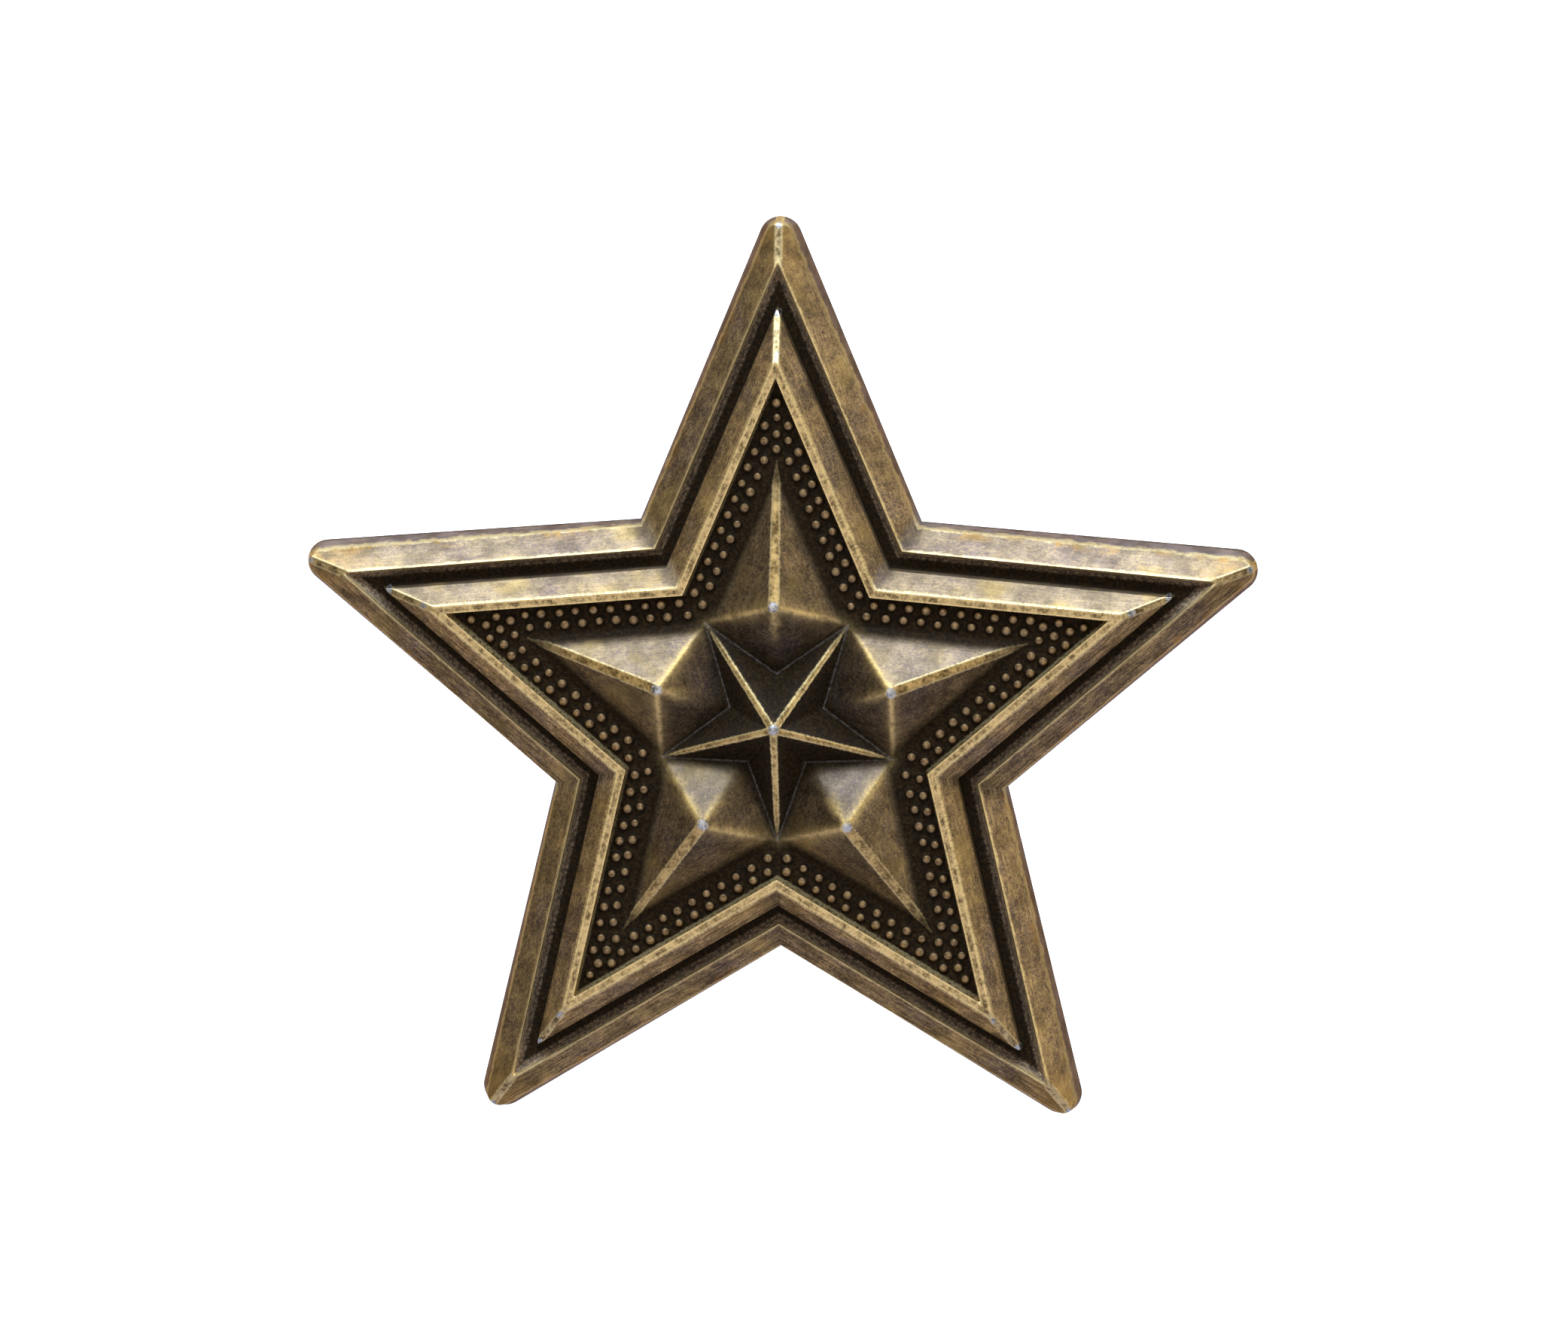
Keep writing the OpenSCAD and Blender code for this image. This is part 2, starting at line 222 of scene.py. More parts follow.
def half_arm_points(u, v):
    """One point of the half arm repeated on all ten half arms, once where it lies on the middle line."""
    sides = (1,) if v == 0 else (1, -1)
    turns = [math.pi / 2 + ARM * arm for arm in range(ARMS)]
    return [
        (u * math.cos(t) - side * v * math.sin(t), u * math.sin(t) + side * v * math.cos(t))
        for t in turns
        for side in sides
    ]


# ------------------------------------------------------------------------------------------------
# Stipple dots of the field
# ------------------------------------------------------------------------------------------------
DOT_PITCH = 0.725
# Each row's distance from the centre, where its first dot is along the edge, and how many dots it has
DOT_ROWS = ((5.31, 3.65, 10), (4.80, 4.17, 9))
# One more dot beside each notch, as distance and place along the edge
DOT_NOTCH = (4.80, 3.35)
# The cluster at each tip, as u and v
TIP_DOTS = ((13.5, 0), (12.88, 0), (12.22, 0), (11.57, 0), (12.56, 0.48), (11.92, 0.53))
DOT_R, DOT_H, MOAT_R, MOAT_D = 0.205, 0.17, 0.30, 0.05
DOT_SCATTER, SMALLEST_DOT, LARGEST_DOT, DOT_SEED = 0.018, 0.9, 1.1, 7


def dot_centres():
    """Two staggered rows along every edge of the field, and a cluster at each of its tips."""
    places = [(d, first + DOT_PITCH * k) for d, first, count in DOT_ROWS for k in range(count)]
    places.append(DOT_NOTCH)
    sine, cosine = math.sin(TIP_HALF), math.cos(TIP_HALF)
    folded = [(t * cosine + d * sine, d * cosine - t * sine) for d, t in places]
    return np.array([p for u, v in [*folded, *TIP_DOTS] for p in half_arm_points(u, v)])


DOTS = dot_centres()
rng = np.random.default_rng(DOT_SEED)
DOTS = DOTS + rng.normal(0, DOT_SCATTER, DOTS.shape)
DOT_SIZES = rng.uniform(SMALLEST_DOT, LARGEST_DOT, len(DOTS))


def nearest_dot(x, y):
    """Distance to the nearest dot, in that dot's own scale."""
    gaps = np.hypot(x[:, None] - DOTS[:, 0], y[:, None] - DOTS[:, 1])
    nearest = gaps.argmin(1)
    return gaps[np.arange(len(x)), nearest] / DOT_SIZES[nearest]


def dot_relief(gap):
    """Round-topped peg in a shallow moat."""
    dome = DOT_H * np.sqrt(np.clip(1 - (gap / (DOT_R * 1.12)) ** 2, 0, 1)) ** 0.8
    moat = MOAT_D * np.exp(-(((gap - MOAT_R) / 0.055) ** 2))
    return dome - moat


# ------------------------------------------------------------------------------------------------
# Rings that run parallel to the outline
# ------------------------------------------------------------------------------------------------
# Values of v where a ring has its points: these near the tip, then evenly spaced ones as far as the notch
NEAR_TIP = (0.04, 0.08, 0.11, 0.13, 0.15, 0.17, 0.2, 0.25, 0.32, 0.4, 0.48, 0.55, 0.62, 0.7, 0.78, 0.84, 0.9)
FAR_STEPS = 16


def ring_points(d):
    """Closed ring of points whose straight edges lie d from the centre: round at the tips of the outline, and
    sharp from the outer crest inwards."""
    half = float(np.interp(d, [WALL_TOP, RIM], [TIP_HALF, RIM_HALF]))
    r = float(np.interp(d, [CREST, WALL_TOP, RIM], [SHARP_TIP_R, WALL_TIP_R, TIP_R]))
    notch_u = d / math.sin(HALF_ARM + half) * math.cos(HALF_ARM)
    notch_v = notch_u * math.tan(HALF_ARM)
    near = NEAR_TIP[-1]
    away = [*NEAR_TIP, *(near + (notch_v - near) * (i + 1) / FAR_STEPS for i in range(FAR_STEPS))]
    centre, tangent = (d - r) / math.sin(half), r * math.cos(half)
    side = [
        (centre + math.sqrt(r * r - v * v) if v < tangent else (d - v * math.cos(half)) / math.sin(half), v)
        for v in away
    ]
    arm = [*((u, -v) for u, v in reversed(side)), (centre + r, 0), *side[:-1]]
    turns = [math.pi / 2 + ARM * i for i in range(ARMS)]
    return [
        (u * math.cos(t) - v * math.sin(t), u * math.sin(t) + v * math.cos(t)) for t in turns for u, v in arm
    ]


def corner(d, spread):
    """Rings close together round a rounded corner of the profile."""
    return [d + spread * k for k in (-2.2, -1.2, -0.5, 0, 0.5, 1.2, 2.2)]


def between(high, low, count):
    """Evenly spaced values between two others, without them."""
    return [high + (low - high) * (i + 1) / (count + 1) for i in range(count)]


def outside_in(distances):
    """The rings in the order that they are joined, each only once."""
    return sorted({round(d, 4) for d in distances}, reverse=True)


FRONT_RINGS = outside_in([
    RIM - 0.012, *between(RIM - 0.02, WALL_TOP + 0.04, 2), *corner(WALL_TOP, 0.03),
    *between(WALL_TOP - 0.07, CREST + 0.06, 6), *corner(CREST, 0.022),
    *between(CREST, GROOVE_OUT, 2), *corner(GROOVE_OUT, 0.015),
    *between(GROOVE_OUT, GROOVE_IN, 4), GROOVE_IN + 0.03, GROOVE_IN + 0.01, GROOVE_IN - 0.012,
    *between(GROOVE_IN, TIER_FOOT, 2), TIER_FOOT, *corner(TIER_FOOT - 0.04, 0.018),
    *between(TIER_FOOT - 0.1, LAND_OUT + 0.05, 5), *corner(LAND_OUT, 0.015),
    *between(LAND_OUT, LAND_IN, 3), *corner(LAND_IN, 0.01),
    *between(LAND_IN, FIELD, 2), *corner(FIELD, 0.01), FIELD - 0.05,
])
BACK_RINGS = outside_in([
    RIM - 0.06, RIM - 0.12, *between(RIM - 0.15, HOLLOW_EDGE, 6), *corner(HOLLOW_EDGE, 0.03),
    *corner(HOLLOW_EDGE - 0.12, 0.03), *between(HOLLOW_EDGE - 0.2, DEEP_EDGE + 0.1, 5),
    *corner(DEEP_EDGE, 0.03), *between(DEEP_EDGE - 0.05, DEEP_EDGE - 0.2, 2),
    *corner(DEEP_EDGE - DEEP_SLOPE, 0.03),
])


def ring_quads(ring_count, size, first):
    """Quads between neighbouring rings of size points each, the first of which has the number first."""
    return [
        (first + k * size + i, first + k * size + (i + 1) % size,
         first + (k + 1) * size + (i + 1) % size, first + (k + 1) * size + i)
        for k in range(ring_count - 1)
        for i in range(size)
    ]


# ------------------------------------------------------------------------------------------------
# Filling inside the innermost ring
# ------------------------------------------------------------------------------------------------
# Least distance between points along the ridges and valleys, and from those points to a dot's centre
FINEST_GAP, DOT_CLEARANCE = 0.045, 0.36
# Spacing of the lattice between them, and its least distance from other points
FACE_LATTICE, FACE_GAP = 0.28, 0.2
# The same on the back, how far that lattice reaches, and the least distance between the points round the ribs
BACK_LATTICE, BACK_GAP, BACK_REACH, RIB_GAP = 0.4, 0.25, 16, 0.05
# Radius of each ring of points round a dot, and how many points it has
DOT_RINGS = ((0, 1), (0.08, 6), (0.13, 10), (0.165, 12), (0.195, 14), (0.225, 14), (0.27, 14), (0.33, 12))


def along_line(p, q, step, offsets):
    """Points beside a line of the half arm, at each offset to its left and right, on all ten half arms."""
    p, q = np.array(p[:2], float), np.array(q[:2], float)
    run = q - p
    normal = np.array([-run[1], run[0]]) / np.linalg.norm(run)
    count = max(2, round(np.linalg.norm(run) / step))
    made = []
    for i in range(count + 1):
        for offset in offsets:
            u, v = p + run * i / count + normal * offset
            if v >= -1e-9 and v <= u * math.tan(HALF_ARM) + 1e-9:
                made.extend(half_arm_points(u, abs(v) if abs(v) > 1e-6 else 0))
    return made


def lattice(reach, step):
    """Triangular lattice of points over a square."""
    rows = math.ceil(2 * reach / (step * math.sqrt(3) / 2))
    columns = math.ceil(2 * reach / step)
    return [
        (-reach + step * (i + 0.5 * (j % 2)), -reach + step * math.sqrt(3) / 2 * j)
        for j in range(rows + 1)
        for i in range(columns + 1)
    ]


def dot_points():
    """Concentric rings of points round every dot."""
    made = []
    for (x, y), size in zip(DOTS, DOT_SIZES):
        for r, count in DOT_RINGS:
            for k in range(count):
                a = 2 * math.pi * (k + 0.5 * (count % 4)) / count
                made.append((x + size * r * math.cos(a), y + size * r * math.sin(a)))
    return made


def thinned(points, gap, kept=()):
    """Points at least gap away from each other and from those already kept."""
    cells, chosen = {}, []
    for index, (x, y) in enumerate([*kept, *points]):
        key = (math.floor(x / gap), math.floor(y / gap))
        near = (
            other
            for i in (-1, 0, 1)
            for j in (-1, 0, 1)
            for other in cells.get((key[0] + i, key[1] + j), ())
        )
        if index < len(kept) or all((x - a) ** 2 + (y - b) ** 2 > gap * gap for a, b in near):
            cells.setdefault(key, []).append((x, y))
            if index >= len(kept):
                chosen.append((x, y))
    return chosen


def fill(boundary, inner):
    """Triangles inside a closed boundary, through the inner points."""
    count = len(boundary)
    points = [Vector(p) for p in [*boundary, *inner]]
    edges = [(i, (i + 1) % count) for i in range(count)]
    made = geometry.delaunay_2d_cdt(points, edges, [], 1, 1e-5)
    return [tuple(v) for v in made[0]], [tuple(f) for f in made[2]]


def inside_ring(points, d):
    """The points that lie inside the ring whose straight edges are d from the centre."""
    x, y = np.array(points).T
    keep = edge_distance(*fold(x, y)) < d
    return [p for p, k in zip(points, keep) if k]


def field_points():
    """Points that catch every dot, ridge, valley and facet of the field."""
    ridge = (0, 0.05, 0.09, 0.12, 0.15, 0.18, 0.23, 0.32)
    both = tuple(sorted({*ridge, *(-r for r in ridge)}))
    fine = (-0.16, -0.08, -0.03, 0, 0.03, 0.08, 0.16)
    features = [
        *along_line(KITE_APEX, KITE_END, 0.16, ridge),
        *along_line(KITE_APEX, INNER_NOTCH, 0.14, (*ridge, 0.42)),
        *along_line(KITE_APEX, SIDE_POINT, 0.14, (*both, -0.42, 0.42)),
        *along_line(KITE_END, SIDE_POINT, 0.16, fine),
        *along_line(INNER_NOTCH, SIDE_POINT, 0.12, fine),
        *along_line(SIDE_POINT, APEX, 0.14, both),
        *along_line(APEX, INNER_NOTCH, 0.12, (0, 0.03, 0.08)),
    ]
    dots = dot_points()
    x, y = np.array(features).T
    features = [p for p, gap in zip(features, nearest_dot(x, y)) if gap > DOT_CLEARANCE]
    kept = [*dots, *thinned(features, FINEST_GAP, dots)]
    spread = lattice(KITE_END_R + 4, FACE_LATTICE)
    return [*kept, *thinned(spread, FACE_GAP, kept)]


def back_ribs_gap(x, y):
    """Distance outside the back's bar and post bosses, and outside its central pad."""
    bar = np.maximum(np.abs(y - POST_Z) - BAR_HALF_W, np.abs(x) - POST_X)
    bosses = np.hypot(np.abs(x) - POST_X, y - POST_Z) - BOSS_R
    return soft_min(bar, bosses, 0.3), np.hypot(x, y) - PAD_R


def back_points():
    """Points round the pad, the bar and the bosses, and over the floor between them."""
    made = []

    def circle(x, y, r, count):
        turns = [2 * math.pi * k / count for k in range(count)]
        made.extend((x + r * math.cos(a), y + r * math.sin(a)) for a in turns)

    for offset in (-0.35, -0.2, -0.1, -0.03, 0.03, 0.08, 0.14, 0.2, 0.27, 0.34, 0.42, 0.6):
        circle(0, 0, PAD_R + offset, 56)
        for side in (-1, 1):
            circle(side * POST_X, POST_Z, BOSS_R + offset, 90)
            made.extend((POST_X * (k / 29.5 - 1), POST_Z + side * (BAR_HALF_W + offset)) for k in range(60))
    return [*thinned(made, RIB_GAP), *thinned(lattice(BACK_REACH, BACK_LATTICE), BACK_GAP, made)]


def back_height(x, y):
    """Depth of the back below the rim's plane."""
    u, v = fold(x, y)
    d = edge_distance(u, v)
    step_d = DEEP_D - HOLLOW_D
    shallow = soft_max(ramp(d, HOLLOW_EDGE, 0, HOLLOW_EDGE - HOLLOW_SLOPE, HOLLOW_D), 0, 0.06)
    deep = soft_max(ramp(d, DEEP_EDGE, 0, DEEP_EDGE - DEEP_SLOPE, step_d), 0, 0.06)
    floor = soft_min(shallow, HOLLOW_D, 0.08) + soft_min(deep, step_d, 0.1)
    bar, pad = back_ribs_gap(x, y)
    bar_top = soft_max(FOOT_T + bar * 2.6, FOOT_T, 0.08)
    pad_top = soft_max(pad * 3, 0, 0.08) - 0.02
    return np.maximum(soft_min(soft_min(floor, bar_top, 0.1), pad_top, 0.08), 0)


# ------------------------------------------------------------------------------------------------
# Making the star's mesh, with what its material needs to know at every point
# ------------------------------------------------------------------------------------------------
# Places along an arm of the tips of the crest's and the land's outlines
CREST_TIP, TIER_TIP = CREST / math.sin(TIP_HALF), LAND_OUT / math.sin(TIP_HALF)
# Grey worn spots on the highest points, the one near each arm's tip partly a painted highlight: place along the
# arm, and relative size
SPOTS = (
    (0, 1.0), (KITE_R, 1.0), (TIER_TIP + 0.1, 0.7), (TIER_FOOT / math.sin(TIP_HALF) - 0.2, 0.6),
    (TIP_CENTRE + 0.70, 0.55),
)
# How light the film is, where 1 is the plain colour: on the inner star and on both kinds of facet of the kites,
# and on the bevels, at the crest and the tier's foot, at the rim, and next to the land, where it is lightest
STAR_TONE, KITE_INNER_TONE, KITE_OUTER_TONE = 0.17, 0.28, 0.50
EDGE_TONE, RIM_TONE, TOP_TONE = 0.96, 0.80, 1.30
UNEVEN_H, UNEVEN_SIZE, UNEVEN_WAVES, UNEVEN_SEED = 0.012, 3.2, 7, 3


def unevenness(x, y):
    """Slight smooth waviness of the cast face, from a few crossing waves."""
    waves = np.random.default_rng(UNEVEN_SEED)
    total = np.zeros_like(x)
    for _ in range(UNEVEN_WAVES):
        angle, phase = waves.uniform(0, math.pi), waves.uniform(0, 2 * math.pi)
        length = UNEVEN_SIZE * waves.uniform(0.6, 1.7)
        total += np.sin((x * math.cos(angle) + y * math.sin(angle)) * 2 * math.pi / length + phase)
    return UNEVEN_H * total / UNEVEN_WAVES


def front_height(x, y, u, v):
    """Height of the face above the back rim."""
    d = edge_distance(u, v)
    centre = centre_height(u, v)
    field = FIELD_H + dot_relief(nearest_dot(x, y))
    inside = soft_max(centre, field, 0.04)
    edge = frame_height(u, v)
    height = np.where(d < FIELD - 0.03, inside, edge)
    return height + unevenness(x, y) * smooth_step(rim_inset(u, v), 0.1, 0.5)


def segment_distance(u, v, p, q):
    """Distance in the half arm from a line segment, and how far along it the nearest point lies."""
    px, py, qx, qy = p[0], p[1], q[0], q[1]
    length2 = (qx - px) ** 2 + (qy - py) ** 2
    t = np.clip(((u - px) * (qx - px) + (v - py) * (qy - py)) / length2, 0, 1)
    return np.hypot(u - px - t * (qx - px), v - py - t * (qy - py)), t


def worn_ridge_highlight_profile(gap):
    """Bright core of a worn round ridge with a painted highlight on it, and a faint wide painted sheen beside
    it.
    """
    return 0.65 * np.exp(-((gap / 0.10) ** 2)) + 0.35 * np.exp(-((gap / 0.32) ** 2))


def flat_marks(u, v, d, in_centre):
    """How far inside a worn flat each point lies, and how far the polish of the centre's flats has faded."""
    far_away = -9.0
    tip_flat = np.where((u > CREST_TIP - 0.25) & (d > CREST - 0.12), TIP_FLAT - v, far_away)
    on_tier = (u > TIER_TIP - 0.3) & (d < TIER_FOOT + 0.02) & (d > LAND_OUT - 0.12)
    tier_flat = np.where(on_tier, TIER_FLAT - v, far_away)
    on_kite = segment_distance(u, v, KITE_APEX, KITE_END)[0]
    on_star, star_t = segment_distance(u, v, APEX, SIDE_POINT)
    centre_flat = np.maximum(kite_flat(u) - on_kite, inner_flat(star_t * INNER_TIP_R) - on_star)
    flat = np.maximum.reduce([tip_flat, tier_flat, np.where(in_centre, centre_flat, far_away)])
    kite_fade = smooth_step(u, KITE_END_R - 2.4, KITE_END_R - 0.4)
    star_fade = smooth_step(star_t, 0.65, 1.0) * (u < KITE_R)
    return np.clip(flat, -1, 1), np.where(in_centre, np.maximum(kite_fade, star_fade), 0)


def ridge_highlight_mark(u, v):
    """Soft golden painted highlight on the kites' rounded ridges, over their wear."""
    side_gap, side_t = segment_distance(u, v, KITE_APEX, SIDE_POINT)
    short_gap, short_t = segment_distance(u, v, KITE_APEX, INNER_NOTCH)
    side = worn_ridge_highlight_profile(side_gap) * (1 - 0.85 * smooth_step(side_t, 0.5, 0.98))
    return np.maximum(side, 0.85 * worn_ridge_highlight_profile(short_gap) * (1 - smooth_step(short_t, 0.1, 0.66)))


def tone_and_dark(u, v, d, in_centre):
    """How light the film is, and where the black patina stays."""
    # Which facet of the centre a point lies on
    star = inner_star_plane(u, v)
    kite_in, kite_out = kite_inner_plane(u, v), kite_outer_plane(u, v)
    above = np.minimum(kite_in, kite_out) - FIELD_H
    in_star = (star > above + FIELD_H) & (star > FIELD_H - 0.05)
    on_inner = ~in_star & (kite_in < kite_out)

    kite_tone = np.where(in_star, STAR_TONE, np.where(on_inner, KITE_INNER_TONE, KITE_OUTER_TONE))
    tier_tone = np.interp(d, (LAND_OUT, TIER_FOOT), (TOP_TONE, EDGE_TONE))
    bevel_tone = np.interp(d, (CREST, WALL_TOP), (EDGE_TONE, RIM_TONE))
    tone = np.where(in_centre, kite_tone, np.where(d < TIER_FOOT, tier_tone, bevel_tone))

    outline_gap = segment_distance(u, v, INNER_NOTCH, SIDE_POINT)[0]
    notch_gap = np.hypot(u - INNER_NOTCH_R, v)
    ridge_gap = segment_distance(u, v, APEX, SIDE_POINT)[0]
    outline_dark = 0.75 * (1 - smooth_step(outline_gap, 0.05, 0.5))
    inner_dark = np.maximum(outline_dark, 0.9 * np.exp(-((notch_gap / 0.95) ** 2)))
    outer_dark = 1 - smooth_step(above, 0.0, 0.62)
    star_dark = 1 - 0.35 * (1 - smooth_step(ridge_gap, 0.0, 1.2))
    centre_dark = np.where(in_star, star_dark, np.where(on_inner, inner_dark, outer_dark))
    from_tier = smooth_step(d, TIER_FOOT - 0.03, GROOVE_IN)
    groove = from_tier * (1 - smooth_step(d, GROOVE_OUT - 0.04, GROOVE_OUT + 0.05))
    from_groove = smooth_step(d, GROOVE_OUT - 0.05, GROOVE_OUT + 0.05)
    wall = from_groove * (1 - smooth_step(d, CREST - 0.05, CREST))
    ring_dark = np.maximum(groove, 0.12 * wall)
    field_wall = smooth_step(LAND_IN - d, -0.01, 0.05)
    dark = np.where(in_centre, centre_dark, np.where(d < LAND_IN + 0.01, field_wall, ring_dark))
    return tone, np.clip(dark, 0, 1), np.where(in_centre, np.clip(outline_gap, 0, 1), 1.0)


def front_marks(x, y, u, v):
    """Named values over the face, which its material reads."""
    d = edge_distance(u, v)
    in_centre = d < FIELD
    flat, faded = flat_marks(u, v, d, in_centre)
    tone, dark, outline = tone_and_dark(u, v, d, in_centre)
    notch = edge_run(u, v) - d / math.tan(HALF_ARM + TIP_HALF)
    spot = np.minimum.reduce([np.hypot(u - place, v) / size for place, size in SPOTS])
    return {
        "rim_line": np.clip(wall_inset(u, v), -1, 1),
        "crest_line": np.clip(d - CREST, -1, 1),
        "land": np.clip(np.minimum(d - LAND_IN, LAND_OUT - d), -1, 1),
        "flat": flat,
        "faded": faded,
        "ridge_wear_and_highlight": np.where(in_centre, ridge_highlight_mark(u, v), 0),
        "tone": tone,
        "dark": dark,
        "fold": np.exp(-((notch / 0.35) ** 2)) * ~in_centre,
        "dot": np.where(in_centre, np.clip(nearest_dot(x, y), 0, 1), 1.0),
        "spot": np.clip(spot, 0, 1),
        "outline": outline,
    }


def back_marks(depth):
    """The back has one even finish, darker in its hollows."""
    ones = np.ones_like(depth)
    plain = {name: ones for name in ("rim_line", "crest_line", "faded", "tone", "dot", "spot", "outline")}
    none = {"land": -ones, "flat": -ones, "ridge_wear_and_highlight": 0 * ones, "fold": 0 * ones}
    return {**plain, **none, "dark": 0.25 + 0.45 * smooth_step(depth, 0.1, 0.9)}


def side_of_star(rings, inner, gap, first):
    """Points and faces of one side: its rings, and its filling inside the last of them."""
    points = [p for d in rings for p in ring_points(d)]
    size = len(points) // len(rings)
    quads = ring_quads(len(rings), size, first)
    boundary = points[-size:]
    verts, tris = fill(boundary, inside_ring(inner, rings[-1] - gap))
    assert all(math.dist(a, b) < 1e-4 for a, b in zip(boundary, verts[:size]))
    start = first + len(points) - size
    return [*points, *verts[size:]], [*quads, *(tuple(start + i for i in f) for f in tris)], size


def brush_runs(u, v, height):
    """Place along the edge, across it and in height, which brushed streaks follow."""
    return np.stack([edge_run(u, v), edge_distance(u, v), height], 1)


def star_arrays():
    """Points, faces, and marks of the whole star, front and back joined along the rim."""
    points, faces, size = side_of_star(FRONT_RINGS, field_points(), 0.03, 0)
    x, y = np.array(points).T
    u, v = fold(x, y)
    height = front_height(x, y, u, v)
    marks = front_marks(x, y, u, v)

    offset = len(points)
    behind, back_faces, _ = side_of_star(BACK_RINGS, back_points(), 0.05, offset)
    rim = [(i, (i + 1) % size, offset + (i + 1) % size, offset + i) for i in range(size)]
    faces += [tuple(reversed(f)) for f in [*back_faces, *rim]]
    bx, by = np.array(behind).T
    depth = back_height(bx, by)
    back_mark = back_marks(depth)

    xs, ys, hs = np.concatenate([x, bx]), np.concatenate([y, by]), np.concatenate([height, depth])
    merged = {name: np.concatenate([values, back_mark[name]]) for name, values in marks.items()}
    runs = np.concatenate([brush_runs(u, v, height), brush_runs(*fold(bx, by), depth)])
    return np.stack([xs, -hs, ys], 1), faces, merged, runs


def make_mesh(name, points, faces):
    """Smooth-shaded object from points in millimetres."""
    mesh = bpy.data.meshes.new(name)
    mesh.from_pydata((np.asarray(points) * MM).tolist(), [], faces)
    mesh.validate()
    mesh.shade_smooth()
    obj = bpy.data.objects.new(name, mesh)
    bpy.context.scene.collection.objects.link(obj)
    return obj


def make_star():
    points, faces, marks, runs = star_arrays()
    star = make_mesh("star_face", points, faces)
    for name, values in marks.items():
        attribute = star.data.attributes.new(name, "FLOAT", "POINT")
        attribute.data.foreach_set("value", values.astype(np.float32))
    attribute = star.data.attributes.new("brush_run", "FLOAT_VECTOR", "POINT")
    attribute.data.foreach_set("vector", runs.astype(np.float32).ravel())
    return star


# ------------------------------------------------------------------------------------------------
# Material helpers
# ------------------------------------------------------------------------------------------------
class Nodes:
    """Short calls that add the nodes of a material or a world, and join them."""

    def __init__(self, owner):
        owner.use_nodes = True
        self.owner, self.tree = owner, owner.node_tree

    def add(self, kind, **settings):
        node = self.tree.nodes.new(kind)
        for key, value in settings.items():
            setattr(node, key, value)
        return node

    def put(self, socket, value):
        if isinstance(value, bpy.types.NodeSocket):
            self.tree.links.new(value, socket)
        elif isinstance(value, tuple) and len(value) == 3 and socket.type == "RGBA":
            socket.default_value = (*value, 1)
        else:
            socket.default_value = value

    def finish(self, node_name, **sockets):
        """Sets the sockets of the node that ends the tree, and returns the material or world."""
        for key, value in sockets.items():
            self.put(self.tree.nodes[node_name].inputs[key.replace("_", " ")], value)
        return self.owner

    # Numbers
    def math(self, operation, a, b=0.0):
        node = self.add("ShaderNodeMath", operation=operation)
        for socket, value in zip(node.inputs, (a, b)):
            self.put(socket, value)
        return node.outputs[0]

    def product(self, first, *others):
        for other in others:
            first = self.math("MULTIPLY", first, other)
        return first

    def largest(self, first, *others):
        for other in others:
            first = self.math("MAXIMUM", first, other)
        return first

    def step(self, value, low, high, to_low=0.0, to_high=1.0):
        """Smooth step of value between low and high."""
        node = self.add("ShaderNodeMapRange", interpolation_type="SMOOTHSTEP")
        names = ("Value", "From Min", "From Max", "To Min", "To Max")
        for key, setting in zip(names, (value, low, high, to_low, to_high)):
            self.put(node.inputs[key], setting)
        return node.outputs["Result"]

    def blend(self, share, a, b):
        """Mix of two numbers."""
        node = self.add("ShaderNodeMix", data_type="FLOAT")
        for index, value in ((0, share), (2, a), (3, b)):
            self.put(node.inputs[index], value)
        return node.outputs[0]

    # Colours
    def mix(self, share, a, b, blend_type="MIX"):
        node = self.add("ShaderNodeMix", data_type="RGBA", blend_type=blend_type)
        for index, value in ((0, share), (6, a), (7, b)):
            self.put(node.inputs[index], value)
        return node.outputs[2]

    def times(self, a, b):
        """Product of two colours."""
        return self.mix(1.0, a, b, "MULTIPLY")

    def shade(self, value):
        """Grey of that value."""
        node = self.add("ShaderNodeCombineColor")
        for socket in node.inputs:
            self.put(socket, value)
        return node.outputs[0]

    # Places, directions and noises
    def attribute(self, name, output="Fac"):
        return self.add("ShaderNodeAttribute", attribute_name=name).outputs[output]

    def coordinate(self, output):
        return self.add("ShaderNodeTexCoord").outputs[output]

    def parts(self, vector):
        node = self.add("ShaderNodeSeparateXYZ")
        self.put(node.inputs[0], vector)
        return node.outputs

    def stretched(self, vector, lengths, turn=0.0):
        """The vector turned about Y and then divided by a length along each axis."""
        node = self.add("ShaderNodeMapping", vector_type="TEXTURE")
        self.put(node.inputs["Vector"], vector)
        node.inputs["Scale"].default_value = lengths
        node.inputs["Rotation"].default_value = (0, turn, 0)
        return node.outputs[0]

    def noise(self, vector, scale, detail, roughness):
        node = self.add("ShaderNodeTexNoise")
        names = ("Vector", "Scale", "Detail", "Roughness")
        for key, value in zip(names, (vector, scale, detail, roughness)):
            self.put(node.inputs[key], value)
        return node.outputs["Fac"]

    def scratches(self, place, turn, fineness):
        """Thin straight marks that run one way."""
        lines = self.noise(self.stretched(place, (11, 1, 1), turn), fineness, 1.0, 0.5)
        return self.step(lines, 0.52, 0.74)

    def bump(self, height, strength, distance):
        node = self.add("ShaderNodeBump")
        for key, value in (("Height", height), ("Strength", strength), ("Distance", distance)):
            self.put(node.inputs[key], value)
        return node.outputs[0]


# ------------------------------------------------------------------------------------------------
# Antique brass of the star
# ------------------------------------------------------------------------------------------------
# Each pair is for surfaces that face level or down, and for those that face up, so that each pair paints light
# and shade by facing
FILM_DARK = (0.110, 0.072, 0.050), (0.205, 0.147, 0.098)
FILM_LIGHT = (0.37, 0.245, 0.110), (0.325, 0.228, 0.130)
# Painted highlight on the kites' rounded ridges, over their wear
RIDGE_WEAR_AND_HIGHLIGHT = (0.95, 0.66, 0.26), (0.62, 0.40, 0.13)
